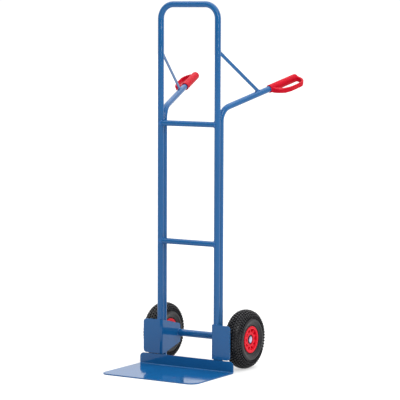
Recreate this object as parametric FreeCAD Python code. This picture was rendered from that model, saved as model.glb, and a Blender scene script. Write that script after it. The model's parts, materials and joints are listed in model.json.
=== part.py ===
"""High-back tubular steel hand truck with two pneumatic wheels.

Working frame while building: X across the truck, Y towards the rear with the front uprights at Y = 0,
Z up from the floor. The last step moves everything along Y so that the origin is under the middle of
the whole truck. Millimetres throughout.
"""

import FreeCAD, Part
import math
import os

V = FreeCAD.Vector
X_AXIS = V(1, 0, 0)
Y_AXIS = V(0, 1, 0)
Z_AXIS = V(0, 0, 1)

# ---- driving dimensions -------------------------------------------------------------------------

# frame tubes
FRAME_HEIGHT = 1600.0
UPRIGHT_SPACING = 290.0          # centre to centre
FRAME_TUBE_D = 26.9
FRAME_TUBE_WALL = 2.0
TOP_BEND_RADIUS = 63.0           # centre line
TUBE_FOOT_Z = 7.0                # open lower ends of the uprights, just above the floor
RUNG_D = 25.0
RUNG_HEIGHTS = {"upper_rung": 1071.0, "lower_rung": 554.0}

# handle tubes: up behind the uprights, then back, out and up to the grips
HANDLE_TUBE_GAP = 0.2            # between the two tubes of a side
HANDLE_BEND_Z = 1134.0           # where the two straight runs would cross
HANDLE_BEND_RADIUS = 65.0
ARM_FLARE = 0.263                # outwards, per unit rearwards
ARM_RISE = 0.293                 # upwards, per unit rearwards
ARM_TO_GRIP = 306.0              # from the crossing to the mouth of the grip
TUBE_INSIDE_GRIP = 150.0

# flat-bar struts from the uprights down to the arms
STRUT_WIDTH = 15.0
STRUT_THICKNESS = 4.0
STRUT_TOP_Z = 1389.0
STRUT_FOOT_ALONG_ARM = 247.0     # from the crossing

# wheel brackets, bent from sheet: a flange across the front of the tubes and a web running back
BRACKET_SHEET = 4.0
BRACKET_BEND_RADIUS = 10.0       # outside
BRACKET_OUTER_X = 222.5
BRACKET_BOTTOM_Z = 54.5
BRACKET_TOP_Z = 205.0
BRACKET_CORNER_RADIUS = 15.0
WEB_REAR_Y = 136.0
WEB_REAR_TOP_Z = 170.0           # the web's top edge slopes down from the fold to here
WEB_REAR_RADIUS = 13.0
WEB_REAR_FOOT_Z = 88.5           # its lower edge slopes down from here at the rear
WEB_FOOT_Y = 12.0                # and reaches the bottom here

# axle
AXLE_Y = 129.4
AXLE_TUBE_D = 32.0
AXLE_TUBE_WALL = 3.0
AXLE_TUBE_HALF_LENGTH = 178.0
AXLE_D = 20.0
BUSH_LENGTH = 25.0
FIT_GAP = 0.05                   # radial running clearance
PART_GAP = 0.4                   # axial clearance between the turning and the fixed parts

# wheel, 260 x 81, about its own middle plane; section points are (offset from that plane, radius)
WHEEL_D = 260.0
WHEEL_X = 210.8
TYRE_WIDTH = 81.0
TYRE_WALL = 7.0
TYRE_WIDEST_R = 92.0
TYRE_BEAD = (30.1, 59.5)
TYRE_LOW_SIDE = (38.5, 75.0)
TYRE_HIGH_SIDE = (37.7, 111.0)
TYRE_SHOULDER = (29.5, 121.3)    # where the sidewall arc meets the crown arc
TYRE_FOOT_GAP = 0.1              # between the tyre's foot and the rim's bed
INNER_TUBE_GAP = 0.5             # between the tyre and the inner tube
INNER_TUBE_WALL = 2.0
RIM_FACE = 34.2
RIM_FLANGE_R = 59.0
RIM_BED_R = 50.0
RIM_WALL = 4.0
RIM_RING_INNER_R = 46.0
RIM_SHELF_R = 33.0               # the raised middle, from which the ribs run out to the flange ring
RIM_SHELF_DEPTH = 5.0            # below the flange face
RIM_EDGE = 1.5                   # chamfer of the flange
RIM_SHELF_EDGE = 1.0
RIM_RING_SLOPE = 2.0             # how far the flange ring's inner side leans
RIM_POCKET_DRAFT = 0.5
HUB_COUNTERBORE_R = 21.5
HUB_OUTER_FACE = 24.0
HUB_INNER_FACE = -30.0
RIM_DISC = 6.0                   # thickness of each half's disc
RIM_RIBS = 10
RIM_RIB_WIDTH = 9.0
RIM_SPLIT_GAP = 0.1
SLEEVE_R = 19.0
ROLLER_D = 6.0
ROLLERS = 10
ROLLER_GAP = 0.1                 # round each roller in its cage slot
ROLLER_END_GAP = 0.2
CAGE_LENGTH = 22.0
CAGE_INSET = 1.0                 # from the end of the hub
CAGE_END = 1.8                   # solid ring at each end of a cage
CAGE_HALF_WALL = 1.8
RIM_BOLTS = 5
RIM_BOLT_R = 39.4
RIM_BOLT_D = 6.0
RIM_BOLT_GAP = 0.15              # radial, in the rim's holes
RIM_BOLT_HEAD = 4.0
RIM_BOLT_END = 2.0               # stands out of its nut
RIM_NUT_HEIGHT = 5.0
RIM_NUT_ACROSS = 10.0
VALVE_STEM_R = 4.0
VALVE_ANGLE = 252.0              # half way between two rim bolts
VALVE_AXIS_R = 39.0
VALVE_TIP = -28.0
VALVE_HOLE_GAP = 0.2             # radial, in the rim
VALVE_BORE_R = 1.5
VALVE_BORE_DEPTH = 20.0
VALVE_CAP_R = 4.8
VALVE_CAP_LENGTH = 5.0
VALVE_CAP_GAP = 0.2
CAP_R = 18.5
CAP_HEIGHT = 6.5
CAP_EDGE = 1.5                   # straight edge below the crown
WASHER_THICKNESS = 2.0
WASHER_R = 15.0

# toe plate, one bent sheet
TOE_SHEET = 5.0
TOE_HALF_WIDTH = 240.0
TOE_FRONT_Y = -334.0
TOE_FRONT_RADIUS = 40.0
TOE_UPSTAND = 51.5
TOE_UPSTAND_RADIUS = 18.0
TOE_BEND_RADIUS = 8.0            # outside

# safety grips: a sleeve over the tube end with a D-shaped knuckle guard outside and below it
GRIP_LENGTH = 180.0
GRIP_R = 18.0
GRIP_END_RADIUS = 12.0
GRIP_BORE_GAP = 0.1              # radial, round the tube
GUARD_DROP_ANGLES = {"right": 19.0, "left": 13.0}  # degrees; each pushed-on grip sits at its own angle
GUARD_WIDTH = 23.0
GUARD_LOWER_BY = 2.0             # its middle plane lies this far below the grip's axis
GUARD_THICKNESS = 7.0
GUARD_REACH = 64.5               # from the sleeve's axis to the guard's outside
GUARD_FRONT_REACH = 53.0         # the same at the guard's front corner
GUARD_FRONT = 19.0               # the front corner, along the grip
GUARD_FRONT_RADIUS = 14.0
GUARD_CREST_AT = 80.1            # where the outside stands furthest out, along the grip
GUARD_CREST_RADIUS = 120.0
GUARD_REAR_REACH = 62.0
GUARD_REAR_RADIUS = 38.0
GUARD_REAR_THICKNESS = 11.0
GUARD_FRONT_THICKNESS = 25.0     # the gusset between the mouth and the finger opening
GUARD_EDGE = 1.5                 # rounding of the guard's long edges

# weld beads
WELD = 3.0
TOP_SEAM_WIDTH = 6.0
TOP_SEAM_RIDGE = 0.5
SEAM_WELD_HEIGHTS = (330.0, 700.0, 1030.0)
SEAM_WELD_LENGTH = 30.0
SEAM_WELD_OUT = 3.2              # from the uprights' plane to the bead
FLANGE_WELD_LENGTH = 21.5

# ---- values worked out from them ---------------------------------------------------------------

TUBE_R = FRAME_TUBE_D / 2
UPRIGHT_X = UPRIGHT_SPACING / 2
HANDLE_Y = FRAME_TUBE_D + HANDLE_TUBE_GAP
WEB_INNER_X = UPRIGHT_X - TUBE_R - BRACKET_SHEET
FLANGE_FRONT_Y = -TUBE_R - BRACKET_SHEET
UPSTAND_FRONT_Y = -TUBE_R - TOE_SHEET
AXLE_Z = WHEEL_D / 2
ROLLER_PITCH_R = AXLE_D / 2 + FIT_GAP + ROLLER_D / 2
SLEEVE_BORE_R = ROLLER_PITCH_R + ROLLER_D / 2 + FIT_GAP
OVERLAP = 1.0                    # by which shapes to be joined or cut reach into one another

shapes = {}


# ---- helpers --------------------------------------------------------------------------------------

def group(solids):
    """Several separate solids kept together as one node."""
    return Part.makeCompound([s for shape in solids for s in shape.Solids])


def rod(start, end, radius):
    """A solid round bar between two points."""
    return Part.makeCylinder(radius, (end - start).Length, start, end - start)


def mirrored(shape):
    """The same piece on the other side of the truck."""
    return shape.mirror(V(0, 0, 0), X_AXIS)


def both_sides(name, right_shape):
    shapes["right_" + name] = right_shape
    shapes["left_" + name] = mirrored(right_shape)


def arc(start, middle, end):
    return Part.Arc(V(start), V(middle), V(end)).toShape()


def line(start, end):
    return Part.makeLine(V(start), V(end))


def swept_tube(path, radius, wall):
    """A hollow round tube along a wire of straight runs and tangent arcs."""
    start = path.Edges[0].valueAt(path.Edges[0].FirstParameter)
    heading = path.Edges[0].tangentAt(path.Edges[0].FirstParameter)
    solids = []
    for r in (radius, radius - wall):
        ring = Part.Wire(Part.makeCircle(r, start, heading))
        solids.append(path.makePipeShell([ring], True, False))
    return solids[0].cut(solids[1])


def rounded_corner_path(points, radius):
    """A wire through the points with every inner corner turned into an arc of the given radius."""
    edges = []
    begin = points[0]
    for before, corner, after in zip(points, points[1:], points[2:]):
        into = (corner - before).normalize()
        out = (after - corner).normalize()
        turn = into.getAngle(out)
        setback = radius * math.tan(turn / 2)
        first = corner - into * setback
        last = corner + out * setback
        inward = (out - into).normalize()
        middle = corner + inward * (radius / math.cos(turn / 2) - radius)
        edges.append(line(begin, first))
        edges.append(arc(first, middle, last))
        begin = last
    edges.append(line(begin, points[-1]))
    return Part.Wire(edges)


def rounded_outline(corners):
    """A closed face from (point, radius) corners; radius 0 keeps a corner sharp."""
    edges = []
    count = len(corners)
    joins = []
    for i, (point, radius) in enumerate(corners):
        before = corners[i - 1][0]
        after = corners[(i + 1) % count][0]
        into = (point - before).normalize()
        out = (after - point).normalize()
        if radius == 0:
            joins.append((point, None, point))
            continue
        turn = into.getAngle(out)
        setback = radius * math.tan(turn / 2)
        middle = point + (out - into).normalize() * (radius / math.cos(turn / 2) - radius)
        joins.append((point - into * setback, middle, point + out * setback))
    for i, (first, middle, last) in enumerate(joins):
        if middle is not None:
            edges.append(arc(first, middle, last))
        edges.append(line(last, joins[(i + 1) % count][0]))
    return Part.Face(Part.Wire(edges))


def revolved(profile_edges):
    """A ring from a closed outline of (offset along the axle, radius) edges, about the wheel's axle."""
    face = Part.Face(Part.Wire(profile_edges))
    return face.revolve(V(0, 0, 0), X_AXIS, 360)


def profile_line(points):
    """Straight edges joining (offset, radius) points, closed back to the first."""
    loop = points + points[:1]
    return [line((a[0], 0, a[1]), (b[0], 0, b[1])) for a, b in zip(loop, loop[1:])]


def ring(inner_r, outer_r, start, end):
    """A plain ring round the axle between two offsets."""
    return revolved(profile_line([(start, inner_r), (start, outer_r), (end, outer_r), (end, inner_r)]))


def along_axle(offset, radius, degrees):
    """A point at a radius and an angle round the axle."""
    a = math.radians(degrees)
    return V(offset, radius * math.cos(a), radius * math.sin(a))


def at_wheel(shape):
    """Puts a piece made about the origin on the right-hand wheel's centre."""
    return shape.translated(V(WHEEL_X, AXLE_Y, AXLE_Z))


# ---- frame ----------------------------------------------------------------------------------------

def main_frame_tube():
    top = FRAME_HEIGHT - TUBE_R
    corners = [V(-UPRIGHT_X, 0, TUBE_FOOT_Z), V(-UPRIGHT_X, 0, top), V(UPRIGHT_X, 0, top),
               V(UPRIGHT_X, 0, TUBE_FOOT_Z)]
    path = rounded_corner_path(corners, TOP_BEND_RADIUS)
    return swept_tube(path, TUBE_R, FRAME_TUBE_WALL)


def upright_core(side, radius=TUBE_R):
    """The full round of one upright, used to cope the pieces that meet it."""
    x = side * UPRIGHT_X
    return rod(V(x, 0, TUBE_FOOT_Z), V(x, 0, FRAME_HEIGHT - TOP_BEND_RADIUS), radius)


def handle_core():
    """The full round of a right-hand handle tube below its bend."""
    return rod(V(UPRIGHT_X, HANDLE_Y, TUBE_FOOT_Z), V(UPRIGHT_X, HANDLE_Y, HANDLE_BEND_Z), TUBE_R)


def rung_core(z, radius):
    return rod(V(-UPRIGHT_X, 0, z), V(UPRIGHT_X, 0, z), radius)


def rung(z):
    """A tube coped to sit between the uprights."""
    tube = rung_core(z, RUNG_D / 2).cut(rung_core(z, RUNG_D / 2 - FRAME_TUBE_WALL))
    return tube.cut(upright_core(-1)).cut(upright_core(1))


ARM_DIRECTION = V(ARM_FLARE, 1, ARM_RISE).normalize()
ARM_CORNER = V(UPRIGHT_X, HANDLE_Y, HANDLE_BEND_Z)
GRIP_MOUTH = ARM_CORNER + ARM_DIRECTION * ARM_TO_GRIP
TUBE_END = GRIP_MOUTH + ARM_DIRECTION * TUBE_INSIDE_GRIP


def handle_tube():
    corners = [V(UPRIGHT_X, HANDLE_Y, TUBE_FOOT_Z), ARM_CORNER, TUBE_END]
    path = rounded_corner_path(corners, HANDLE_BEND_RADIUS)
    return swept_tube(path, TUBE_R, FRAME_TUBE_WALL)


def arm_core(radius=TUBE_R):
    return rod(ARM_CORNER, TUBE_END, radius)


STRUT_TOP = V(UPRIGHT_X, 0, STRUT_TOP_Z)
STRUT_FOOT = ARM_CORNER + ARM_DIRECTION * STRUT_FOOT_ALONG_ARM


def strut_bar(width, thickness):
    """The strut's flat bar at full length, its wide face turned to the side of the truck."""
    run = STRUT_FOOT - STRUT_TOP
    bar = Part.makeBox(run.Length, thickness, width, V(0, -thickness / 2, -width / 2))
    along = V(run).normalize()
    sideways = V(0, 0, 1).cross(along).normalize()
    upwards = along.cross(sideways)
    turn = FreeCAD.Rotation(along, sideways, upwards, "XYZ")
    return bar.transformed(FreeCAD.Placement(STRUT_TOP, turn).toMatrix())


def strut():
    return strut_bar(STRUT_WIDTH, STRUT_THICKNESS).cut(upright_core(1)).cut(arm_core())


# ---- wheel brackets and axle -----------------------------------------------------------------------

def bracket():
    t = BRACKET_SHEET
    x_in = WEB_INNER_X
    y_front = FLANGE_FRONT_Y
    plan = rounded_outline([
        (V(BRACKET_OUTER_X, y_front, 0), 0),
        (V(BRACKET_OUTER_X, y_front + t, 0), 0),
        (V(x_in + t, y_front + t, 0), BRACKET_BEND_RADIUS - t),
        (V(x_in + t, WEB_REAR_Y, 0), 0),
        (V(x_in, WEB_REAR_Y, 0), 0),
        (V(x_in, y_front, 0), BRACKET_BEND_RADIUS),
    ])
    height = BRACKET_TOP_Z - BRACKET_BOTTOM_Z
    sheet = plan.extrude(V(0, 0, height)).translated(V(0, 0, BRACKET_BOTTOM_Z))
    r = BRACKET_CORNER_RADIUS
    flange_shape = rounded_outline([
        (V(x_in, y_front, BRACKET_BOTTOM_Z), 0),
        (V(BRACKET_OUTER_X, y_front, BRACKET_BOTTOM_Z), r),
        (V(BRACKET_OUTER_X, y_front, BRACKET_TOP_Z), r),
        (V(x_in, y_front, BRACKET_TOP_Z), 0),
    ]).extrude(V(0, WEB_REAR_Y - y_front, 0))
    web_shape = rounded_outline([
        (V(x_in, y_front, BRACKET_BOTTOM_Z), 0),
        (V(x_in, WEB_FOOT_Y, BRACKET_BOTTOM_Z), 0),
        (V(x_in, WEB_REAR_Y, WEB_REAR_FOOT_Z), 0),
        (V(x_in, WEB_REAR_Y, WEB_REAR_TOP_Z), WEB_REAR_RADIUS),
        (V(x_in, y_front + BRACKET_BEND_RADIUS, BRACKET_TOP_Z), 0),
        (V(x_in, y_front, BRACKET_TOP_Z), 0),
    ]).extrude(V(BRACKET_OUTER_X - x_in, 0, 0))
    return sheet.common(flange_shape).common(web_shape).cut(axle_line(AXLE_TUBE_D / 2))


def axle_line(radius, half_length=AXLE_TUBE_HALF_LENGTH):
    return rod(V(-half_length, AXLE_Y, AXLE_Z), V(half_length, AXLE_Y, AXLE_Z), radius)


def axle_tube():
    return axle_line(AXLE_TUBE_D / 2).cut(axle_line(AXLE_TUBE_D / 2 - AXLE_TUBE_WALL))


def axle_bushes():
    """Steel bushes in the two ends of the axle tube, which carry the axle."""
    outer = AXLE_TUBE_D / 2 - AXLE_TUBE_WALL
    end = AXLE_TUBE_HALF_LENGTH - WHEEL_X
    bush = at_wheel(ring(AXLE_D / 2, outer, end - BUSH_LENGTH, end))
    return group([bush, mirrored(bush)])


def axle_rod():
    return axle_line(AXLE_D / 2, WHEEL_X + HUB_OUTER_FACE + PART_GAP + WASHER_THICKNESS + CAP_HEIGHT / 2)


def axle_washers():
    """A washer on each side of each hub."""
    placed = []
    for start in (HUB_INNER_FACE - PART_GAP - WASHER_THICKNESS, HUB_OUTER_FACE + PART_GAP):
        washer = at_wheel(ring(AXLE_D / 2, WASHER_R, start, start + WASHER_THICKNESS))
        placed += [washer, mirrored(washer)]
    return group(placed)


def axle_cap():
    """A domed push-on cap over the end of the axle: a short straight edge and a shallow spherical crown."""
    base = HUB_OUTER_FACE + PART_GAP + WASHER_THICKNESS
    apex = base + CAP_HEIGHT
    crown_height = CAP_HEIGHT - CAP_EDGE
    crown_r = (CAP_R ** 2 + crown_height ** 2) / (2 * crown_height)
    half_way = math.asin(CAP_R / crown_r) / 2
    middle = (apex - crown_r * (1 - math.cos(half_way)), 0, crown_r * math.sin(half_way))
    outline = [
        line((base, 0, 0), (base, 0, CAP_R)),
        line((base, 0, CAP_R), (base + CAP_EDGE, 0, CAP_R)),
        arc((base + CAP_EDGE, 0, CAP_R), middle, (apex, 0, 0)),
        line((apex, 0, 0), (base, 0, 0)),
    ]
    socket = rod(V(0, 0, 0), V(base + CAP_HEIGHT / 2, 0, 0), AXLE_D / 2)
    return at_wheel(revolved(outline).cut(socket))


# ---- wheels ---------------------------------------------------------------------------------------

def drawn_in(point, inset):
    """Moves a point of the tyre section towards the middle of its hollow."""
    x, r = point
    out = V(x, 0, r - TYRE_WIDEST_R)
    return V(x, 0, r) - out.normalize() * inset


def tyre_outline(inset):
    """Tyre section from bead to bead, drawn in by an inset from its outside; also gives the bead point."""
    bead = V(TYRE_BEAD[0] - inset, 0, TYRE_BEAD[1])
    low_side = drawn_in(TYRE_LOW_SIDE, inset)
    widest = V(TYRE_WIDTH / 2 - inset, 0, TYRE_WIDEST_R)
    high_side = drawn_in(TYRE_HIGH_SIDE, inset)
    shoulder = drawn_in(TYRE_SHOULDER, inset)
    edges = []
    for side in (1, -1):
        edges.append(arc(*[V(side * p.x, 0, p.z) for p in (bead, low_side, widest)]))
        edges.append(arc(*[V(side * p.x, 0, p.z) for p in (widest, high_side, shoulder)]))
    edges.append(arc(shoulder, (0, 0, WHEEL_D / 2 - inset), (-shoulder.x, 0, shoulder.z)))
    return edges, bead


def tyre():
    """The carcass and tread, open towards the rim."""
    outer, outer_bead = tyre_outline(0.0)
    inner, inner_bead = tyre_outline(TYRE_WALL)
    foot = RIM_BED_R + TYRE_FOOT_GAP
    links = []
    for side in (1, -1):
        x_out = side * outer_bead.x
        x_in = side * inner_bead.x
        links.append(line((x_out, 0, outer_bead.z), (x_out, 0, foot)))
        links.append(line((x_out, 0, foot), (x_in, 0, foot)))
        links.append(line((x_in, 0, foot), (x_in, 0, inner_bead.z)))
    wire = Part.Wire(Part.__sortEdges__(outer + inner + links))
    return at_wheel(Part.Face(wire).revolve(V(0, 0, 0), X_AXIS, 360))


def inner_tube_core(inset):
    edges, bead = tyre_outline(inset)
    edges.append(line(bead, (-bead.x, 0, bead.z)))
    wire = Part.Wire(Part.__sortEdges__(edges))
    return Part.Face(wire).revolve(V(0, 0, 0), X_AXIS, 360)


def inner_tube():
    outside = TYRE_WALL + INNER_TUBE_GAP
    return at_wheel(inner_tube_core(outside).cut(inner_tube_core(outside + INNER_TUBE_WALL)))


def rim_body():
    """A rim half's plain turned shape without its hub: outline points from the split to the counterbore."""
    f = RIM_FACE
    bed = f - RIM_WALL
    back = RIM_SPLIT_GAP / 2
    floor = back + RIM_DISC
    shelf = f - RIM_SHELF_DEPTH
    return [
        (back, SLEEVE_R), (back, RIM_BED_R), (bed, RIM_BED_R),
        (bed, RIM_FLANGE_R - RIM_EDGE), (bed + RIM_EDGE, RIM_FLANGE_R),
        (f - RIM_EDGE, RIM_FLANGE_R), (f, RIM_FLANGE_R - RIM_EDGE),
        (f, RIM_RING_INNER_R + RIM_RING_SLOPE), (f - RIM_SHELF_DEPTH / 2, RIM_RING_INNER_R),
        (floor, RIM_RING_INNER_R - RIM_POCKET_DRAFT), (floor, RIM_SHELF_R),
        (shelf - RIM_SHELF_EDGE, RIM_SHELF_R), (shelf, RIM_SHELF_R - RIM_SHELF_EDGE),
        (shelf, HUB_COUNTERBORE_R),
    ]


def rim_ribs():
    """The ribs between the pockets, from the raised middle out to the flange ring."""
    floor = RIM_SPLIT_GAP / 2 + RIM_DISC
    height = RIM_FACE - RIM_SHELF_DEPTH - RIM_SHELF_EDGE - floor
    length = RIM_RING_INNER_R - RIM_SHELF_R + 2 * OVERLAP
    ribs = []
    for i in range(RIM_RIBS):
        rib = Part.makeBox(height, length, RIM_RIB_WIDTH, V(floor, RIM_SHELF_R - OVERLAP, -RIM_RIB_WIDTH / 2))
        rib.rotate(V(0, 0, 0), X_AXIS, 360.0 * (i + 0.5) / RIM_RIBS)
        ribs.append(rib)
    return ribs


def rim_half(face_sign, hub_face):
    """One bolted half of the rim: flange and bed for the tyre, ten pockets between ribs, and the hub."""
    outline = rim_body() + [(hub_face, HUB_COUNTERBORE_R), (hub_face, SLEEVE_R)]
    body = revolved(profile_line(outline)).fuse(rim_ribs()).removeSplitter()
    disc = RIM_SPLIT_GAP / 2 + RIM_DISC
    for point in rim_bolt_points(-OVERLAP):
        body = body.cut(rod(point, point + X_AXIS * (disc + 2 * OVERLAP), RIM_BOLT_D / 2 + RIM_BOLT_GAP))
    if face_sign < 0:
        body = body.mirror(V(0, 0, 0), X_AXIS)
        body = body.cut(valve_line(VALVE_STEM_R + VALVE_HOLE_GAP, 0))
    return at_wheel(body)


def rim_bolt_points(offset):
    return [along_axle(offset, RIM_BOLT_R, 360.0 * i / RIM_BOLTS) for i in range(RIM_BOLTS)]


def rim_bolts():
    """Hexagon bolts from the inner side through both halves."""
    seat = RIM_SPLIT_GAP / 2 + RIM_DISC
    bolts = []
    for p in rim_bolt_points(0):
        shank = rod(p - X_AXIS * seat, p + X_AXIS * (seat + RIM_NUT_HEIGHT + RIM_BOLT_END), RIM_BOLT_D / 2)
        bolts.append(shank.fuse(hexagon(p - X_AXIS * (seat + RIM_BOLT_HEAD), RIM_BOLT_HEAD)))
    return at_wheel(group(bolts))


def rim_nuts():
    seat = RIM_SPLIT_GAP / 2 + RIM_DISC
    nuts = []
    for p in rim_bolt_points(0):
        nut = hexagon(p + X_AXIS * seat, RIM_NUT_HEIGHT)
        nuts.append(nut.cut(rod(p, p + X_AXIS * (seat + RIM_NUT_HEIGHT), RIM_BOLT_D / 2)))
    return at_wheel(group(nuts))


def hexagon(start, height):
    """A hexagonal prism along the axle, as a bolt head or nut."""
    corner_r = RIM_NUT_ACROSS / math.sqrt(3)
    points = []
    for i in range(7):
        a = math.radians(60 * i)
        points.append(start + V(0, corner_r * math.cos(a), corner_r * math.sin(a)))
    return Part.Face(Part.makePolygon(points)).extrude(X_AXIS * height)


def hub_sleeve():
    """Steel liner of the hub, in which the rollers run."""
    return at_wheel(ring(SLEEVE_BORE_R, SLEEVE_R, HUB_INNER_FACE, HUB_OUTER_FACE))


def cage_starts():
    return [HUB_INNER_FACE + CAGE_INSET, HUB_OUTER_FACE - CAGE_LENGTH - CAGE_INSET]


def bearing_rollers():
    rollers = []
    end = CAGE_END + ROLLER_END_GAP
    for start in cage_starts():
        for i in range(ROLLERS):
            p = along_axle(start + end, ROLLER_PITCH_R, 360.0 * i / ROLLERS)
            rollers.append(rod(p, p + X_AXIS * (CAGE_LENGTH - 2 * end), ROLLER_D / 2))
    return at_wheel(group(rollers))


def bearing_cages():
    """Plastic cages that keep the rollers apart."""
    cages = []
    slot_r = ROLLER_D / 2 + ROLLER_GAP
    for start in cage_starts():
        end = start + CAGE_LENGTH
        cage = ring(ROLLER_PITCH_R - CAGE_HALF_WALL, ROLLER_PITCH_R + CAGE_HALF_WALL, start, end)
        for i in range(ROLLERS):
            p = along_axle(start + CAGE_END, ROLLER_PITCH_R, 360.0 * i / ROLLERS)
            cage = cage.cut(rod(p, p + X_AXIS * (CAGE_LENGTH - 2 * CAGE_END), slot_r))
        cages.append(cage)
    return at_wheel(group(cages))


def valve_line(radius, start):
    p = along_axle(start, VALVE_AXIS_R, VALVE_ANGLE)
    return rod(p, p + X_AXIS * (VALVE_TIP - start), radius)


def valve_stem():
    """Rubber-covered valve, reached from the inner side of the wheel."""
    stem = valve_line(VALVE_STEM_R, -RIM_SPLIT_GAP)
    return at_wheel(stem.cut(valve_line(VALVE_BORE_R, VALVE_TIP + VALVE_BORE_DEPTH)))


def valve_cap():
    p = along_axle(VALVE_TIP - VALVE_CAP_GAP, VALVE_AXIS_R, VALVE_ANGLE)
    return at_wheel(rod(p, p - X_AXIS * VALVE_CAP_LENGTH, VALVE_CAP_R))


# ---- toe plate --------------------------------------------------------------------------------------

def toe_plate():
    t = TOE_SHEET
    y_back = UPSTAND_FRONT_Y
    w = TOE_HALF_WIDTH
    section = rounded_outline([
        (V(-w, TOE_FRONT_Y, 0), 0),
        (V(-w, y_back + t, 0), TOE_BEND_RADIUS),
        (V(-w, y_back + t, TOE_UPSTAND), 0),
        (V(-w, y_back, TOE_UPSTAND), 0),
        (V(-w, y_back, t), TOE_BEND_RADIUS - t),
        (V(-w, TOE_FRONT_Y, t), 0),
    ])
    sheet = section.extrude(V(2 * w, 0, 0))
    plan = rounded_outline([
        (V(-w, TOE_FRONT_Y, 0), TOE_FRONT_RADIUS), (V(w, TOE_FRONT_Y, 0), TOE_FRONT_RADIUS),
        (V(w, y_back + t, 0), 0), (V(-w, y_back + t, 0), 0),
    ]).extrude(V(0, 0, TOE_UPSTAND))
    elevation = rounded_outline([
        (V(-w, TOE_FRONT_Y, 0), 0), (V(w, TOE_FRONT_Y, 0), 0),
        (V(w, TOE_FRONT_Y, TOE_UPSTAND), TOE_UPSTAND_RADIUS),
        (V(-w, TOE_FRONT_Y, TOE_UPSTAND), TOE_UPSTAND_RADIUS),
    ]).extrude(V(0, y_back + t - TOE_FRONT_Y, 0))
    return sheet.common(plan).common(elevation)


# ---- grips ------------------------------------------------------------------------------------------

def grip_placement(drop_angle):
    """Grip frame: X along the arm from the mouth, Y out to the guard, Z across the guard's width."""
    outward = V(1, -ARM_FLARE, 0).normalize()
    drop = FreeCAD.Rotation(ARM_DIRECTION, drop_angle)
    guard_out = drop.multVec(outward)
    turn = FreeCAD.Rotation(ARM_DIRECTION, guard_out, ARM_DIRECTION.cross(guard_out), "XYZ")
    return FreeCAD.Placement(GRIP_MOUTH, turn)


def guard_plan(inset, front, rear, low):
    """Plan of the guard: a D whose front slants away from the mouth and whose rear is well rounded."""
    return rounded_outline([
        (V(front / 2, low, 0), 0),
        (V(GRIP_LENGTH - rear, low, 0), 0),
        (V(GRIP_LENGTH - rear, GUARD_REAR_REACH - inset, 0), GUARD_REAR_RADIUS - inset),
        (V(GUARD_CREST_AT, GUARD_REACH - inset, 0), GUARD_CREST_RADIUS),
        (V(GUARD_FRONT + front, GUARD_FRONT_REACH - inset, 0), GUARD_FRONT_RADIUS - inset),
    ])


def knuckle_guard():
    half = V(0, 0, GUARD_WIDTH / 2)
    outside = guard_plan(0.0, 0.0, 0.0, -OVERLAP).extrude(half * 2).translated(-half)
    opening = guard_plan(GUARD_THICKNESS, GUARD_FRONT_THICKNESS, GUARD_REAR_THICKNESS, GRIP_R / 2)
    guard = outside.cut(opening.extrude(half * 4).translated(-half * 2))
    flat_edges = [e for e in guard.Edges if e.BoundBox.ZLength < 1e-3 and e.BoundBox.YMax > GRIP_R]
    return guard.makeFillet(GUARD_EDGE, flat_edges).translated(V(0, 0, GUARD_LOWER_BY))


def below_the_mouth():
    """Everything lower than the sleeve's mouth, where the guard's front is cut off level."""
    size = 4 * GRIP_LENGTH
    lowest = GRIP_MOUTH.z - GRIP_R * math.hypot(ARM_DIRECTION.x, ARM_DIRECTION.y)
    corner = V(GRIP_MOUTH.x - size / 2, GRIP_MOUTH.y - size / 2, lowest - size)
    return Part.makeBox(size, size, size, corner)


def grip(drop_angle):
    """A right-hand grip; the left one is mirrored afterwards."""
    sleeve = rod(V(0, 0, 0), V(GRIP_LENGTH, 0, 0), GRIP_R)
    ends = [e for e in sleeve.Edges if e.BoundBox.XMin > GRIP_LENGTH - OVERLAP]
    sleeve = sleeve.makeFillet(GRIP_END_RADIUS, ends)
    bore = rod(V(-OVERLAP, 0, 0), V(TUBE_INSIDE_GRIP + OVERLAP, 0, 0), TUBE_R + GRIP_BORE_GAP)
    body = sleeve.fuse(knuckle_guard()).cut(bore).removeSplitter()
    return body.transformed(grip_placement(drop_angle).toMatrix()).cut(below_the_mouth())


# ---- welds --------------------------------------------------------------------------------------------

def rung_welds():
    """A bead round each end of each rung, on the inner half of the upright."""
    beads = []
    for z in RUNG_HEIGHTS.values():
        bead = rung_core(z, RUNG_D / 2 + WELD).common(upright_core(1, TUBE_R + WELD))
        inner_half = Part.makeBox(UPRIGHT_X, 4 * TUBE_R, 4 * TUBE_R, V(0, -2 * TUBE_R, z - 2 * TUBE_R))
        bead = bead.common(inner_half).cut(rung_core(z, RUNG_D / 2)).cut(upright_core(1)).cut(handle_core())
        beads += [bead, mirrored(bead)]
    return beads


def strut_welds():
    bar = strut_bar(STRUT_WIDTH, STRUT_THICKNESS)
    fat_bar = strut_bar(STRUT_WIDTH + 2 * WELD, STRUT_THICKNESS + 2 * WELD)
    at_top = fat_bar.common(upright_core(1, TUBE_R + WELD)).cut(upright_core(1)).cut(bar)
    at_foot = fat_bar.common(arm_core(TUBE_R + WELD)).cut(arm_core()).cut(bar)
    return [at_top, at_foot, mirrored(at_top), mirrored(at_foot)]


def top_seam_weld():
    """The low ring where the two bent halves of the main frame meet at the middle of the top."""
    top = FRAME_HEIGHT - TUBE_R
    start = V(-TOP_SEAM_WIDTH / 2, 0, top)
    end = V(TOP_SEAM_WIDTH / 2, 0, top)
    return [rod(start, end, TUBE_R + TOP_SEAM_RIDGE).cut(rod(start, end, TUBE_R))]


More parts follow.
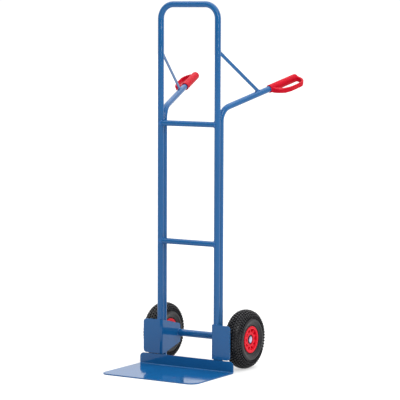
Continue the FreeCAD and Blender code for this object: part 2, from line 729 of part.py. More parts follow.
def flange_welds():
    """Short beads where the top of each bracket flange meets the front of its upright."""
    bead = upright_core(1, TUBE_R + WELD).cut(upright_core(1))
    front = V(UPRIGHT_X - FLANGE_WELD_LENGTH / 2, -TUBE_R - WELD, BRACKET_TOP_Z)
    bead = bead.common(Part.makeBox(FLANGE_WELD_LENGTH, TUBE_R + WELD, WELD, front))
    return [bead, mirrored(bead)]


def seam_welds():
    """Stitch beads in the valleys between each upright and the handle tube behind it."""
    beads = []
    for z in SEAM_WELD_HEIGHTS:
        for x in (UPRIGHT_X - SEAM_WELD_OUT - WELD, UPRIGHT_X + SEAM_WELD_OUT):
            zone = Part.makeBox(WELD, HANDLE_Y, SEAM_WELD_LENGTH, V(x, 0, z - SEAM_WELD_LENGTH / 2))
            beads.append(zone.cut(upright_core(1)).cut(handle_core()))
    return beads + [mirrored(b) for b in beads]


def axle_tube_welds():
    """Fillet rings where the axle tube passes through the two webs."""
    tube_r = AXLE_TUBE_D / 2
    inner_face = WEB_INNER_X - WHEEL_X
    outer_face = inner_face + BRACKET_SHEET
    on_inner = [(inner_face, tube_r), (inner_face, tube_r + WELD), (inner_face - WELD, tube_r)]
    on_outer = [(outer_face, tube_r), (outer_face, tube_r + WELD), (outer_face + WELD, tube_r)]
    web_corner = V(WEB_INNER_X - WELD, WEB_REAR_Y - 2 * AXLE_TUBE_D, AXLE_Z - AXLE_TUBE_D)
    beside_web = Part.makeBox(BRACKET_SHEET + 2 * WELD, 2 * AXLE_TUBE_D, 2 * AXLE_TUBE_D, web_corner)
    rings = [at_wheel(revolved(profile_line(points))).common(beside_web) for points in (on_inner, on_outer)]
    return rings + [mirrored(bead) for bead in rings]


# ---- assembly ------------------------------------------------------------------------------------------

def build():
    shapes["main_frame_tube"] = main_frame_tube()
    for name, z in RUNG_HEIGHTS.items():
        shapes[name] = rung(z)
    both_sides("handle_tube", handle_tube())
    both_sides("strut", strut())
    both_sides("bracket", bracket())
    shapes["right_grip"] = grip(GUARD_DROP_ANGLES["right"])
    shapes["left_grip"] = mirrored(grip(GUARD_DROP_ANGLES["left"]))
    both_sides("axle_cap", axle_cap())
    shapes["axle_tube"] = axle_tube()
    shapes["axle_bushes"] = axle_bushes()
    shapes["axle_rod"] = axle_rod()
    shapes["axle_washers"] = axle_washers()
    shapes["toe_plate"] = toe_plate()
    shapes["weld_beads"] = group(rung_welds() + strut_welds() + top_seam_weld() + flange_welds()
                                 + seam_welds() + axle_tube_welds())
    both_sides("tyre", tyre())
    both_sides("inner_tube", inner_tube())
    both_sides("rim_outer_half", rim_half(1, HUB_OUTER_FACE))
    both_sides("rim_inner_half", rim_half(-1, -HUB_INNER_FACE))
    both_sides("rim_bolts", rim_bolts())
    both_sides("rim_nuts", rim_nuts())
    both_sides("hub_sleeve", hub_sleeve())
    both_sides("bearing_cages", bearing_cages())
    both_sides("bearing_rollers", bearing_rollers())
    both_sides("valve_stem", valve_stem())
    both_sides("valve_cap", valve_cap())


def export():
    """Moves the origin under the middle of the truck and writes every node."""
    back = max(shapes[side + "_grip"].optimalBoundingBox().YMax for side in ("left", "right"))
    middle = (TOE_FRONT_Y + back) / 2
    print("row frame: uprights at Y =", round(-middle, 3), " rear end at", round(back - middle, 3))
    os.makedirs("parts", exist_ok=True)
    for name, shape in shapes.items():
        moved = shape.translated(V(0, -middle, 0))
        if not moved.isValid():
            print("not valid:", name)
        moved.exportStep("parts/" + name + ".step")


build()
export()
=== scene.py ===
"""Looks of a high-back hand truck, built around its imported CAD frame. Metres, in the frame's own axes."""

import json
import math

import bmesh
import bpy
from mathutils import Matrix, Vector


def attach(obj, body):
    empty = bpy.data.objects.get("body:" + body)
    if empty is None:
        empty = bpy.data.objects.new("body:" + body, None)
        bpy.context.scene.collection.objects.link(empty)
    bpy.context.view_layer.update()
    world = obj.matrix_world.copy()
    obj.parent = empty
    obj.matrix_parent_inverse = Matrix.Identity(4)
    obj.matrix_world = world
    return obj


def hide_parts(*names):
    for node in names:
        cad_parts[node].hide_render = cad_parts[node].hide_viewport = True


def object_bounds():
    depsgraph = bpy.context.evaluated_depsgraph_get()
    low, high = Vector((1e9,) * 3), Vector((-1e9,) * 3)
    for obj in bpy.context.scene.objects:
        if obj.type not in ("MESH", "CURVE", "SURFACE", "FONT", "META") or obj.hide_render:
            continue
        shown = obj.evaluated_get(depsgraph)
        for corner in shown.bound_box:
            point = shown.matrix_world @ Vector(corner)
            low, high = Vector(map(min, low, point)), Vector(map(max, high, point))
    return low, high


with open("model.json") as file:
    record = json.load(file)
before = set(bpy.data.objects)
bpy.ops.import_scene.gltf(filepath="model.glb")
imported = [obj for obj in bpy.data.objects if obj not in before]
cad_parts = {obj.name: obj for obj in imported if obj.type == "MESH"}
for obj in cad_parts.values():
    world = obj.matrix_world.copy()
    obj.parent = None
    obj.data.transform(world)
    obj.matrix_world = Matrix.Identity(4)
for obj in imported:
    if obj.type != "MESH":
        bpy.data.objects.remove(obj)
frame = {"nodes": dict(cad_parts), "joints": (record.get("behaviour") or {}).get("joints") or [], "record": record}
cad_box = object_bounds()
NODES = frame["nodes"]

MM = 0.001
SIDES = ("left", "right")

# ---- camera --------------------------------------------------------------------------------------

CAMERA_PLACE = (4.618, -7.4037, 1.537)
CAMERA_AZIMUTH = 31.889          # degrees, turned from looking along +Y towards -X
CAMERA_TILT = 5.259              # degrees below level
CAMERA_ROLL = 0.201              # degrees
CAMERA_LENS_MM = 180.07
CAMERA_SENSOR_MM = 36.0
CAMERA_REACH = 200.0

# ---- studio --------------------------------------------------------------------------------------

WHITE = (1, 1, 1, 1)
FLOOR_HALF = 60.0
FLOOR_GAP = 0.0005               # the floor lies this far below the truck
FLOOR_GREYS = ((0.40, 0.40, 0.40), (0.42, 0.42, 0.42))
FLOOR_PATCH_SCALE = 1.5
FLOOR_ROUGHNESS = 0.9

# A fade runs along a direction, from its first level at the start to its last level at the end.
FLOOR_GLOW = {"direction": (0.5, 0.87, 0.0), "start": -0.4, "end": 0.9, "first": 0.50, "last": 0.58}
WALLS = {"direction": (0.40, -0.92, 0.0), "start": -0.15, "end": 0.60, "first": 1.06, "last": 0.15}
CEILING = {"direction": (0.0, 0.0, 1.0), "start": 0.35, "end": 0.85, "first": 0.0, "last": 1.5}

LAMPS = {
    "soft_lamp": {"place": (2.0, -1.8, 2.8), "target": (0.0, 0.0, 0.9), "size": (1.8, 1.3), "watts": 33.0},
    "tall_lamp": {"place": (2.3, -2.0, 1.95), "target": (0.0, 0.0, 1.1), "size": (0.28, 1.3), "watts": 18.0},
}

# ---- tyre, in millimetres; points are (x, r) from the wheel's middle plane and axle --------------

TYRE_R = 130.0
TYRE_BEAD = (30.1, 59.5)
TYRE_LOW_SIDE = (38.5, 75.0)
TYRE_WIDEST = (40.5, 92.0)
TYRE_HIGH_SIDE = (37.7, 111.0)
TYRE_SHOULDER = (29.5, 121.3)
TYRE_WALL = 7.0
TYRE_FOOT_R = 50.1
TYRE_LINER_END = 2.0             # the inner face stops this far short of the bead
TYRE_SEGMENTS = 162
TYRE_SHARP_ANGLE = 32.0          # degrees
CROWN_STEPS = 24                 # points on each arc of the section
SIDE_STEPS = 30
CARCASS_STEPS = 110              # points on each half of the carcass
SECTION_END_GAP = 1e-6           # keeps a walk along the section inside its last piece

GROOVE_DEPTH = 6.6
TREAD_HALF = 65.0                # along the section, from the middle of the tread
TREAD_EDGE = 4.0                 # over which the groove floor rises to the sidewall
SIDEWALL_RELIEF = 2.4            # the plain sidewall lies this far inside the raised rings
SIDEWALL_RINGS = ((83.0, 6.5), (65.0, 2.4))     # radius and half width of the raised rings
SIDEWALL_RING_FULLNESS = 0.5     # a lower power gives a flatter top

BLOCKS_AROUND = 54
BLOCK_ROWS = (0.0, 12.6, 25.2, 37.6)
BLOCK_ACROSS = 9.2
BLOCK_AROUND = 9.4
BLOCK_CORNER = 2.4               # cut off each corner
BLOCK_DRAFT = 0.3                # the foot is this much wider on each side
BLOCK_EDGE = 1.4                 # chamfer round the top
BLOCK_ROOT = 0.8                 # how far a block reaches into the carcass
BLOCK_SKEW = 0.28                # shift round the tyre for each millimetre across it
SIDE_LUGS = (                    # place along the section, length across, length around
    (49.4, 9.4, 6.8),
    (60.2, 7.6, 6.0),
)

# ---- rim, in millimetres -------------------------------------------------------------------------

RIM_FACE = 34.2
RIM_FACE_RADII = (55.0, 51.5)
RIM_WALL = 4.0
RIM_FLANGE_R = 59.0
RIM_FLANGE_ROUND = 2.0
RIM_FLANGE_ROUND_SAG = 0.6       # from the square corner to the middle of its rounding, along each side
RIM_BED_R = 50.0
RIM_RING_INNER_R = 46.0
RIM_RING_ROUND = ((0.0, 2.6), (0.8, 1.0), (2.4, 0.4))       # below the face, and out from the inner radius
RIM_RING_FOOT = (4.0, 0.2)
RIM_BACK = 0.05
RIM_FLOOR = 6.05
RIM_SHELF = 29.2
RIM_SHELF_RADII = (45.8, 45.4, 44.9, 44.2, 42.0, 39.0, 36.0, 34.2, 33.4, 33.0, 28.0, 24.0)
RIM_COUNTERBORE_R = 21.5
RIM_COUNTERBORE_ROUND = ((0.0, 1.2), (0.4, 0.3), (1.4, 0.0))
RIM_COUNTERBORE_LEAST = 1.8
RIM_SLEEVE_R = 19.0
RIM_HUB_FACE = {"outer": 24.0, "inner": 30.0}
ROUND_STEPS = 5

POCKETS = 10
STEPS_PER_POCKET = 16
POCKET_STEPS = 4.5               # steps each side of a pocket's middle
POCKET_RADII = (33.2, 45.6)
POCKET_EDGE = 0.4                # width of the rounded lip round a pocket
POCKET_LIP = 1.0                 # how far the lip lies below the shelf

# ---- smoothing of solids and edges, in metres ----------------------------------------------------

SHARP_ANGLE = 40.0               # degrees
GRIP_VOXEL = 0.0011
GRIP_SMOOTHING = 10              # rounds
WELD_VOXEL = 0.0006
WELD_SMOOTHING = 4               # rounds
SMOOTHING_FACTOR = 0.5
MERGE_DISTANCE = 1e-6
EDGE_SEGMENTS = 3
EDGE_WIDTHS = {"bracket": 0.0008, "strut": 0.0006, "rim_nuts": 0.0005, "rim_bolts": 0.0005}
TOE_PLATE_EDGE = 0.0010

# ---- noise and the painted shade on the cap's edge -----------------------------------------------

NOISE_LOW = 0.3                  # most of a noise lies between these two values
NOISE_HIGH = 0.7
GLOSS_PATCHES = 4                # gloss varies over patches this many times smaller than colour
# painted shade: the dark colour the cap's steeper edge band turns to, standing in for the shadow round the cap
CAP_PAINTED_SHADE_COLOUR = (0.010, 0.010, 0.020, 1)
CAP_PAINTED_SHADE_FACING = (0.90, 0.95)   # how squarely the cap's surface faces along the axle, across the fade of the painted shade on its edge


# ---- material building blocks --------------------------------------------------------------------

def new_material(name):
    """A new node material; returns it with its node tree and the inputs of its Principled shader."""
    mat = bpy.data.materials.new(name)
    mat.use_nodes = True
    tree = mat.node_tree
    return mat, tree, tree.nodes["Principled BSDF"].inputs


def noise(tree, scale, detail=3.0):
    """Noise in the object's own metres; returns its Fac output."""
    place = tree.nodes.new("ShaderNodeTexCoord")
    node = tree.nodes.new("ShaderNodeTexNoise")
    node.inputs["Scale"].default_value = scale
    node.inputs["Detail"].default_value = detail
    tree.links.new(place.outputs["Object"], node.inputs["Vector"])
    return node.outputs["Fac"]


def spread(tree, source, low, high, from_low=NOISE_LOW, from_high=NOISE_HIGH):
    """Maps a source to a wanted range."""
    node = tree.nodes.new("ShaderNodeMapRange")
    node.inputs["From Min"].default_value = from_low
    node.inputs["From Max"].default_value = from_high
    node.inputs["To Min"].default_value = low
    node.inputs["To Max"].default_value = high
    tree.links.new(source, node.inputs["Value"])
    return node.outputs["Result"]


def blend_colours(tree, source, first, second):
    """Mixes two colours by a noise."""
    node = tree.nodes.new("ShaderNodeValToRGB")
    start, end = node.color_ramp.elements
    start.position = NOISE_LOW
    start.color = (*first, 1)
    end.position = NOISE_HIGH
    end.color = (*second, 1)
    tree.links.new(source, node.inputs["Fac"])
    return node.outputs["Color"]


def bump(tree, source, strength, distance):
    """Adds a bump from a height source, on top of any bump the material already has."""
    node = tree.nodes.new("ShaderNodeBump")
    node.inputs["Strength"].default_value = strength
    node.inputs["Distance"].default_value = distance
    normal = tree.nodes["Principled BSDF"].inputs["Normal"]
    if normal.is_linked:
        tree.links.new(normal.links[0].from_socket, node.inputs["Normal"])
    tree.links.new(source, node.inputs["Height"])
    tree.links.new(node.outputs["Normal"], normal)


def varied(name, colours, patches, roughness, grain, specular=0.5, metallic=0.0):
    """A material whose colour, gloss and relief all vary a little.

    Colours and roughness are given by the two ends of their ranges, patches by their scale, and grain by
    its scale, strength and depth.
    """
    mat, tree, inputs = new_material(name)
    tree.links.new(blend_colours(tree, noise(tree, patches), *colours), inputs["Base Color"])
    tree.links.new(spread(tree, noise(tree, patches * GLOSS_PATCHES), *roughness), inputs["Roughness"])
    scale, strength, depth = grain
    bump(tree, noise(tree, scale, detail=2.0), strength, depth)
    inputs["Specular IOR Level"].default_value = specular
    inputs["Metallic"].default_value = metallic
    return mat


# ---- the materials -------------------------------------------------------------------------------

def powder_coat():
    """Glossy blue powder coat with the slight orange peel of such paint."""
    mat = varied("powder_coat_blue", colours=((0.0060, 0.084, 0.238), (0.0072, 0.092, 0.260)), patches=5.0,
                 roughness=(0.07, 0.13), grain=(380.0, 0.03, 0.0002), specular=0.33)
    bump(mat.node_tree, noise(mat.node_tree, 60.0, detail=1.0), strength=0.04, distance=0.0004)
    return mat


def coated_weld():
    """The same coat over a rippled weld bead."""
    mat = varied("powder_coat_weld", colours=((0.0030, 0.085, 0.280), (0.0060, 0.110, 0.340)), patches=40.0,
                 roughness=(0.10, 0.22), grain=(700.0, 0.5, 0.0003))
    bump(mat.node_tree, noise(mat.node_tree, 260.0), strength=0.6, distance=0.0008)
    return mat


def grip_plastic():
    return varied("grip_plastic_red", colours=((0.42, 0.001, 0.012), (0.50, 0.002, 0.016)), patches=18.0,
                  roughness=(0.40, 0.50), grain=(900.0, 0.15, 0.0002), specular=0.07)


def rim_plastic():
    return varied("rim_plastic_red", colours=((0.60, 0.002, 0.015), (0.68, 0.003, 0.019)), patches=22.0,
                  roughness=(0.26, 0.36), grain=(1200.0, 0.12, 0.00015), specular=0.10)


def tyre_rubber():
    """Black rubber, a little uneven from use."""
    mat = varied("tyre_rubber", colours=((0.004, 0.004, 0.006), (0.010, 0.010, 0.013)), patches=30.0,
                 roughness=(0.28, 0.42), grain=(1500.0, 0.30, 0.00025), specular=0.34)
    bump(mat.node_tree, noise(mat.node_tree, 220.0), strength=0.12, distance=0.0003)
    return mat


def valve_rubber():
    return varied("valve_rubber", colours=((0.014, 0.014, 0.015), (0.022, 0.022, 0.023)), patches=60.0,
                  roughness=(0.5, 0.7), grain=(1800.0, 0.3, 0.0002))


def valve_cap_plastic():
    return varied("cap_plastic", colours=((0.012, 0.012, 0.013), (0.020, 0.020, 0.021)), patches=80.0,
                  roughness=(0.3, 0.42), grain=(2200.0, 0.2, 0.0001))


def zinc_plate():
    return varied("zinc_plate", colours=((0.50, 0.51, 0.54), (0.68, 0.68, 0.70)), patches=60.0,
                  roughness=(0.26, 0.42), grain=(900.0, 0.15, 0.0001), metallic=1.0)


def ground_steel():
    return varied("ground_steel", colours=((0.48, 0.48, 0.50), (0.60, 0.60, 0.62)), patches=60.0,
                  roughness=(0.22, 0.34), grain=(1600.0, 0.15, 0.0001), metallic=1.0)


def cage_nylon():
    return varied("cage_nylon", colours=((0.62, 0.58, 0.47), (0.70, 0.66, 0.55)), patches=50.0,
                  roughness=(0.4, 0.5), grain=(1500.0, 0.2, 0.0001))


def cap_chrome():
    """Bright plating on the crown of a cap, with painted shade darkening the steeper band round its edge."""
    mat = varied("cap_chrome", colours=((0.42, 0.42, 0.58), (0.54, 0.54, 0.72)), patches=60.0,
                 roughness=(0.08, 0.16), grain=(500.0, 0.05, 0.0001), metallic=1.0)
    tree = mat.node_tree
    base_colour = tree.nodes["Principled BSDF"].inputs["Base Color"]
    plating = base_colour.links[0].from_socket
    # Painted shade: the plating colour fades to a dark colour where the surface turns away from the axle, at the
    # cap's edge.
    facing = tree.nodes.new("ShaderNodeSeparateXYZ")
    tree.links.new(tree.nodes.new("ShaderNodeTexCoord").outputs["Normal"], facing.inputs[0])
    outward = tree.nodes.new("ShaderNodeMath")
    outward.operation = "ABSOLUTE"
    tree.links.new(facing.outputs["X"], outward.inputs[0])
    painted_shade_mix = tree.nodes.new("ShaderNodeMixRGB")
    painted_shade_mix.inputs["Color1"].default_value = CAP_PAINTED_SHADE_COLOUR
    tree.links.new(spread(tree, outward.outputs["Value"], 0.0, 1.0, *CAP_PAINTED_SHADE_FACING), painted_shade_mix.inputs["Fac"])
    tree.links.new(plating, painted_shade_mix.inputs["Color2"])
    tree.links.new(painted_shade_mix.outputs["Color"], base_colour)
    return mat


MATERIALS = {
    "frame_blue": powder_coat(),
    "weld": coated_weld(),
    "grip_red": grip_plastic(),
    "rim_red": rim_plastic(),
    "tyre": tyre_rubber(),
    "rubber_black": valve_rubber(),
    "plastic_black": valve_cap_plastic(),
    "chrome": cap_chrome(),
    "zinc_plated_steel": zinc_plate(),
    "bright_steel": ground_steel(),
    "nylon": cage_nylon(),
}


# ---- CAD nodes that are shown as they are --------------------------------------------------------

def dress_cad_nodes():
    """Gives every carried-over CAD node the full material of its slot."""
    slots = {s["node"]: s["material_slot"] for s in frame["record"]["subparts"]}
    for name, obj in NODES.items():
        obj.data.materials.clear()
        obj.data.materials.append(MATERIALS["weld" if name == "weld_beads" else slots[name]])


def soften_edges(name, width):
    """Rounds the cut edges of a sheet or bar node without touching its mesh."""
    obj = NODES[name]
    weld = obj.modifiers.new("weld", "WELD")
    weld.merge_threshold = MERGE_DISTANCE
    bevel = obj.modifiers.new("bevel", "BEVEL")
    bevel.width = width
    bevel.segments = EDGE_SEGMENTS
    bevel.limit_method = "ANGLE"
    bevel.angle_limit = math.radians(SHARP_ANGLE)
    bevel.harden_normals = True


def soften_sheets_and_fasteners():
    for part, width in EDGE_WIDTHS.items():
        for side in SIDES:
            soften_edges(f"{side}_{part}", width)
    soften_edges("toe_plate", TOE_PLATE_EDGE)


# ---- mesh building blocks ------------------------------------------------------------------------

def show(obj):
    bpy.context.scene.collection.objects.link(obj)
    return obj


def make_object(name, bm, mat, sharp_angle=SHARP_ANGLE):
    """Turns a bmesh into a shown object with smooth shading below the sharp angle."""
    bmesh.ops.recalc_face_normals(bm, faces=bm.faces)
    mesh = bpy.data.meshes.new(name)
    bm.to_mesh(mesh)
    bm.free()
    mesh.materials.append(mat)
    mesh.shade_smooth()
    mesh.set_sharp_from_angle(angle=math.radians(sharp_angle))
    return show(bpy.data.objects.new(name, mesh))


def wheel_centre(side):
    for joint in frame["joints"]:
        if joint["name"] == side + "_wheel_spin":
            return Vector(joint["pos_m"])
    raise ValueError("no wheel joint for " + side)


def on_wheel(x, r, angle):
    """A point of a wheel, about its own centre, in metres from millimetres."""
    return Vector((x, r * math.cos(angle), r * math.sin(angle))) * MM


def arc_through(a, b, c, count):
    """Evenly spaced points on the arc from a through b to c, in a plane, without the last one."""
    ax, ay = a
    bx, by = b
    cx, cy = c
    a2 = ax**2 + ay**2
    b2 = bx**2 + by**2
    c2 = cx**2 + cy**2
    d = 2 * (ax * (by - cy) + bx * (cy - ay) + cx * (ay - by))
    ux = (a2 * (by - cy) + b2 * (cy - ay) + c2 * (ay - by)) / d
    uy = (a2 * (cx - bx) + b2 * (ax - cx) + c2 * (bx - ax)) / d
    radius = math.hypot(ax - ux, ay - uy)
    start = math.atan2(ay - uy, ax - ux)
    middle = math.atan2(by - uy, bx - ux)
    end = math.atan2(cy - uy, cx - ux)
    turn = math.remainder(middle - start, 2 * math.pi) + math.remainder(end - middle, 2 * math.pi)
    angles = [start + turn * i / count for i in range(count)]
    return [(ux + radius * math.cos(angle), uy + radius * math.sin(angle)) for angle in angles]


def join_rings(bm, first, second):
    """A band of faces between two rings of vertices."""
    for i in range(len(first)):
        j = (i + 1) % len(first)
        bm.faces.new((first[i], first[j], second[j], second[i]))


def lathe(bm, outline, segments, bend=None):
    """Turns a closed (x, r) outline about the wheel's axle. bend(x, r, step) may move a point."""
    rings = []
    for step in range(segments):
        angle = 2 * math.pi * step / segments
        ring = []
        for x, r in outline:
            if bend:
                x = bend(x, r, step)
            ring.append(bm.verts.new(on_wheel(x, r, angle)))
        rings.append(ring)
    for ring, following in zip(rings, rings[1:] + rings[:1]):
        join_rings(bm, ring, following)


def finish_wheel_piece(bm, side, name, mat, sharp_angle=SHARP_ANGLE):
    """Mirrors a wheel piece for the left, puts it on its wheel and makes it ride there."""
    if side == "left":
        bmesh.ops.scale(bm, vec=(-1, 1, 1), verts=bm.verts)
    bmesh.ops.translate(bm, vec=wheel_centre(side), verts=bm.verts)
    obj = make_object(side + "_" + name, bm, mat, sharp_angle)
    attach(obj, side + "_wheel")
    return obj


# ---- tyres ---------------------------------------------------------------------------------------

class Section:
    """The tyre's outside as a line that can be walked from the middle of the tread."""

    def __init__(self):
        crown = (0.0, TYRE_R)
        half = arc_through(crown, self.on_crown(), TYRE_SHOULDER, CROWN_STEPS)
        half += arc_through(TYRE_SHOULDER, TYRE_HIGH_SIDE, TYRE_WIDEST, SIDE_STEPS)
        half += arc_through(TYRE_WIDEST, TYRE_LOW_SIDE, TYRE_BEAD, SIDE_STEPS)
        half.append(TYRE_BEAD)
        self.points = half
        self.lengths = [0.0]
        for a, b in zip(half, half[1:]):
            self.lengths.append(self.lengths[-1] + math.dist(a, b))

    @staticmethod
    def on_crown():
        """A point half way along the crown arc, between its top and the shoulder."""
        x, r = TYRE_SHOULDER
        sag = TYRE_R - r
        crown_radius = (x * x + sag * sag) / (2 * sag)
        half_way = math.asin(x / crown_radius) / 2
        return (crown_radius * math.sin(half_way), TYRE_R - crown_radius * (1 - math.cos(half_way)))

    def at(self, s, depth=0.0):
        """The (x, r) point at a distance s from the middle of the tread, that deep below the outside."""
        side = 1 if s >= 0 else -1
        s = min(abs(s), self.lengths[-1] - SECTION_END_GAP)
        i = max(k for k, length in enumerate(self.lengths[:-1]) if length <= s)
        a, b = self.points[i], self.points[i + 1]
        t = (s - self.lengths[i]) / (self.lengths[i + 1] - self.lengths[i])
        x = a[0] + (b[0] - a[0]) * t
        r = a[1] + (b[1] - a[1]) * t
        run = math.dist(a, b)
        normal = (-(b[1] - a[1]) / run, (b[0] - a[0]) / run)
        return (side * (x - normal[0] * depth), r - normal[1] * depth)


def carcass_depth(s, r):
    """How far the carcass lies below the tyre's outer envelope at a place on the section."""
    if s < TREAD_HALF - TREAD_EDGE:
        return GROOVE_DEPTH
    if s < TREAD_HALF:
        rise = (TREAD_HALF - s) / TREAD_EDGE
        return SIDEWALL_RELIEF + (GROOVE_DEPTH - SIDEWALL_RELIEF) * rise
    depth = SIDEWALL_RELIEF
    for ring_r, half_width in SIDEWALL_RINGS:
        reach = abs(r - ring_r) / half_width
        if reach < 1:
            depth -= SIDEWALL_RELIEF * math.cos(reach * math.pi / 2) ** SIDEWALL_RING_FULLNESS
    return max(depth, 0.0)


def carcass_outline(section):
    """Closed outline of the tyre without its blocks."""
    total = section.lengths[-1]
    outer = []
    for i in range(-CARCASS_STEPS, CARCASS_STEPS + 1):
        s = total * i / CARCASS_STEPS
        outer.append(section.at(s, carcass_depth(abs(s), section.at(s)[1])))
    half = CARCASS_STEPS // 2
    inner = [section.at((total - TYRE_LINER_END) * i / half, TYRE_WALL) for i in range(half, -half - 1, -1)]
    foot_out = TYRE_BEAD[0]
    foot_in = TYRE_BEAD[0] - TYRE_WALL
    return (outer + [(foot_out, TYRE_FOOT_R), (foot_in, TYRE_FOOT_R)] + inner
            + [(-foot_in, TYRE_FOOT_R), (-foot_out, TYRE_FOOT_R)])


def block_outline(across, around, skew):
    """Eight-cornered block outline as (across, around) offsets."""
    a = across / 2
    b = around / 2
    c = BLOCK_CORNER
    corners = [(a, b - c), (a - c, b), (c - a, b), (-a, b - c),
               (-a, c - b), (c - a, -b), (a - c, -b), (a, c - b)]
    return [(u, v + skew * u) for u, v in corners]


def add_block(bm, section, s_middle, angle, across, around, skew):
    """One tread block: a tapered lug with chamfered edges, standing on the carcass."""
    r_middle = section.at(s_middle)[1]
    levels = []
    for depth, grow in ((GROOVE_DEPTH + BLOCK_ROOT, BLOCK_DRAFT), (BLOCK_EDGE, 0.0), (0.0, -BLOCK_EDGE)):
        ring = []
        for u, v in block_outline(across + 2 * grow, around + 2 * grow, skew):
            x, r = section.at(s_middle + u, depth)
            ring.append(bm.verts.new(on_wheel(x, r, angle + v / r_middle)))
        levels.append(ring)
    for lower, upper in zip(levels, levels[1:]):
        join_rings(bm, lower, upper)
    bm.faces.new(levels[-1])
    bm.faces.new(levels[0][::-1])


def tread_blocks(bm, section):
    """Rows of skewed blocks, every other row half a pitch further round, and straight lugs on each side."""
    pitch = 2 * math.pi / BLOCKS_AROUND
    for row, distance in enumerate(BLOCK_ROWS):
        odd = row % 2
        around = BLOCK_AROUND * section.at(distance)[1] / TYRE_R
        for side in (1, -1) if distance else (1,):
            skew = BLOCK_SKEW * side * (1 if odd else -1)
            for i in range(BLOCKS_AROUND):
                add_block(bm, section, side * distance, pitch * (i + 0.5 * odd), BLOCK_ACROSS, around, skew)
    for distance, across, around in SIDE_LUGS:
        for side in (1, -1):
            for i in range(BLOCKS_AROUND):
                add_block(bm, section, side * distance, pitch * (i + 0.5), across, around, 0.0)


def tyre(side, section):
    bm = bmesh.new()
    lathe(bm, carcass_outline(section), TYRE_SEGMENTS)
    tread_blocks(bm, section)
    obj = finish_wheel_piece(bm, side, "block_tyre", MATERIALS["tyre"], TYRE_SHARP_ANGLE)
    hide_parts(side + "_tyre")


# ---- rims ----------------------------------------------------------------------------------------

def rim_outline(hub_face):
    """Closed outline of a rim half, through the ribs."""
    bed = RIM_FACE - RIM_WALL
    low_r = RIM_FLANGE_R - RIM_FLANGE_ROUND
    sag_r = RIM_FLANGE_R - RIM_FLANGE_ROUND_SAG
    bed_round = arc_through((bed, low_r), (bed + RIM_FLANGE_ROUND_SAG, sag_r),
                            (bed + RIM_FLANGE_ROUND, RIM_FLANGE_R), ROUND_STEPS)
    face_round = arc_through((RIM_FACE - RIM_FLANGE_ROUND, RIM_FLANGE_R),
                             (RIM_FACE - RIM_FLANGE_ROUND_SAG, sag_r), (RIM_FACE, low_r), ROUND_STEPS)
    face = [(RIM_FACE, r) for r in RIM_FACE_RADII]
    ring_round = arc_through(*[(RIM_FACE - down, RIM_RING_INNER_R + out) for down, out in RIM_RING_ROUND],
                             ROUND_STEPS)
    foot_down, foot_out = RIM_RING_FOOT
    foot = [(RIM_FACE - foot_down, RIM_RING_INNER_R + foot_out)]
    shelf = [(RIM_SHELF, r) for r in RIM_SHELF_RADII]
    counterbore = [(RIM_SHELF - down, RIM_COUNTERBORE_R + out) for down, out in RIM_COUNTERBORE_ROUND]
    seat = min(hub_face, RIM_SHELF - RIM_COUNTERBORE_LEAST)
    return ([(RIM_BACK, RIM_SLEEVE_R), (RIM_BACK, RIM_BED_R), (bed, RIM_BED_R)] + bed_round + face_round
            + face + ring_round + foot + shelf + counterbore
            + [(seat, RIM_COUNTERBORE_R), (seat, RIM_SLEEVE_R)])


def pocket_bend(x, r, step):
    """Lowers the shelf into a pocket between two ribs."""
    inner_r, outer_r = POCKET_RADII
    if x != RIM_SHELF or not inner_r < r < outer_r:
        return x
    half_pitch = STEPS_PER_POCKET / 2
    from_middle = abs((step + half_pitch) % STEPS_PER_POCKET - half_pitch)
    if from_middle > POCKET_STEPS:
        return x
    on_lip = from_middle > POCKET_STEPS - 1 or not inner_r + POCKET_EDGE < r < outer_r - POCKET_EDGE
    return RIM_SHELF - POCKET_LIP if on_lip else RIM_FLOOR


def rim_half(side, half):
    bm = bmesh.new()
    lathe(bm, rim_outline(RIM_HUB_FACE[half]), POCKETS * STEPS_PER_POCKET, pocket_bend)
    if half == "inner":
        bmesh.ops.scale(bm, vec=(-1, 1, 1), verts=bm.verts)
    obj = finish_wheel_piece(bm, side, "moulded_rim_" + half, MATERIALS["rim_red"])
    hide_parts(f"{side}_rim_{half}_half")


# ---- grips and welds: solids made smooth like a moulding or a run of weld metal ------------------

def smoothed_copy(node, name, voxel, rounds, mat):
    """A copy of a CAD node, remeshed and smoothed so that its inner corners run together."""
    copy = show(bpy.data.objects.new(name + "_source", NODES[node].data.copy()))
    remesh = copy.modifiers.new("remesh", "REMESH")
    remesh.mode = "VOXEL"
    remesh.voxel_size = voxel
    smooth = copy.modifiers.new("smooth", "SMOOTH")
    smooth.factor = SMOOTHING_FACTOR
    smooth.iterations = rounds
    shown = copy.evaluated_get(bpy.context.evaluated_depsgraph_get())
    mesh = bpy.data.meshes.new_from_object(shown)
    bpy.data.objects.remove(copy)
    mesh.name = name
    mesh.materials.clear()
    mesh.materials.append(mat)
    mesh.shade_smooth()
    return show(bpy.data.objects.new(name, mesh))


def grips():
    for side in SIDES:
        obj = smoothed_copy(side + "_grip", side + "_moulded_grip", GRIP_VOXEL, GRIP_SMOOTHING,
                            MATERIALS["grip_red"])
        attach(obj, "frame")
        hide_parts(side + "_grip")


def welds():
    obj = smoothed_copy("weld_beads", "run_weld_beads", WELD_VOXEL, WELD_SMOOTHING, MATERIALS["weld"])
    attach(obj, "frame")
    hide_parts("weld_beads")


# ---- camera, floor and light ---------------------------------------------------------------------

def camera():
    data = bpy.data.cameras.new("camera")
    data.lens = CAMERA_LENS_MM
    data.sensor_width = CAMERA_SENSOR_MM
    data.clip_end = CAMERA_REACH
    obj = show(bpy.data.objects.new("camera", data))
    turn = Matrix.Rotation(math.radians(CAMERA_AZIMUTH), 4, "Z")
    tilt = Matrix.Rotation(math.radians(90 - CAMERA_TILT), 4, "X")
    roll = Matrix.Rotation(math.radians(CAMERA_ROLL), 4, "Z")
    obj.matrix_world = Matrix.Translation(CAMERA_PLACE) @ turn @ tilt @ roll
    bpy.context.scene.camera = obj


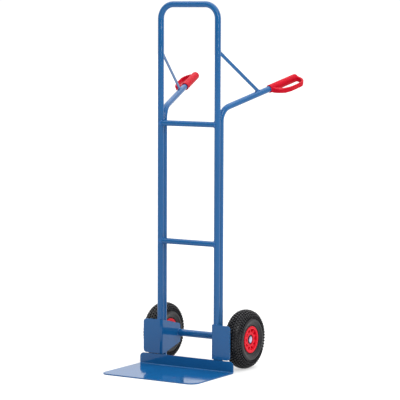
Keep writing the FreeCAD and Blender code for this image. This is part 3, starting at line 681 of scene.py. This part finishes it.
def fade_along(tree, source, direction, start, end, first, last):
    """A value that runs smoothly from first to last as a vector's reach along a direction grows."""
    reach = tree.nodes.new("ShaderNodeVectorMath")
    reach.operation = "DOT_PRODUCT"
    reach.inputs[1].default_value = direction
    tree.links.new(source, reach.inputs[0])
    level = tree.nodes.new("ShaderNodeMapRange")
    level.interpolation_type = "SMOOTHSTEP"
    level.inputs["From Min"].default_value = start
    level.inputs["From Max"].default_value = end
    level.inputs["To Min"].default_value = first
    level.inputs["To Max"].default_value = last
    tree.links.new(reach.outputs["Value"], level.inputs["Value"])
    return level.outputs["Result"]


def floor():
    """A pale studio floor that glows a little, so that shadows on it stay faint; brightest behind."""
    bm = bmesh.new()
    for x, y in ((-1, -1), (1, -1), (1, 1), (-1, 1)):
        bm.verts.new((x * FLOOR_HALF, y * FLOOR_HALF, 0))
    bm.faces.new(bm.verts)
    mat, tree, inputs = new_material("studio_floor")
    tree.links.new(blend_colours(tree, noise(tree, FLOOR_PATCH_SCALE), *FLOOR_GREYS), inputs["Base Color"])
    place = tree.nodes.new("ShaderNodeTexCoord").outputs["Object"]
    tree.links.new(fade_along(tree, place, **FLOOR_GLOW), inputs["Emission Strength"])
    inputs["Emission Color"].default_value = WHITE
    inputs["Roughness"].default_value = FLOOR_ROUGHNESS
    inputs["Specular IOR Level"].default_value = 0.0
    obj = make_object("floor", bm, mat)
    obj.location.z = cad_box[0][2] - FLOOR_GAP


def studio():
    """White walls, a brighter ceiling and a dim side in front of the truck."""
    world = bpy.data.worlds.new("studio")
    bpy.context.scene.world = world
    world.use_nodes = True
    tree = world.node_tree
    direction = tree.nodes.new("ShaderNodeTexCoord").outputs["Generated"]
    both = tree.nodes.new("ShaderNodeMath")
    both.operation = "ADD"
    tree.links.new(fade_along(tree, direction, **WALLS), both.inputs[0])
    tree.links.new(fade_along(tree, direction, **CEILING), both.inputs[1])
    background = tree.nodes["Background"]
    background.inputs["Color"].default_value = WHITE
    tree.links.new(both.outputs["Value"], background.inputs["Strength"])


def area_lamp(name, place, target, size, watts):
    """A soft rectangular lamp that faces a target."""
    lamp = bpy.data.lights.new(name, "AREA")
    lamp.shape = "RECTANGLE"
    lamp.size, lamp.size_y = size
    lamp.energy = watts
    obj = show(bpy.data.objects.new(name, lamp))
    obj.location = place
    obj.rotation_euler = (Vector(target) - obj.location).to_track_quat("-Z", "Y").to_euler()


def colour_settings():
    scene = bpy.context.scene
    scene.view_settings.view_transform = "Standard"
    scene.view_settings.look = "None"
    scene.cycles.use_denoising = True


# ---- build ---------------------------------------------------------------------------------------

def build():
    camera()
    floor()
    studio()
    for name, lamp in LAMPS.items():
        area_lamp(name, **lamp)
    colour_settings()
    dress_cad_nodes()
    soften_sheets_and_fasteners()
    section = Section()
    for side in SIDES:
        tyre(side, section)
        for half in ("outer", "inner"):
            rim_half(side, half)
    grips()
    welds()


build()
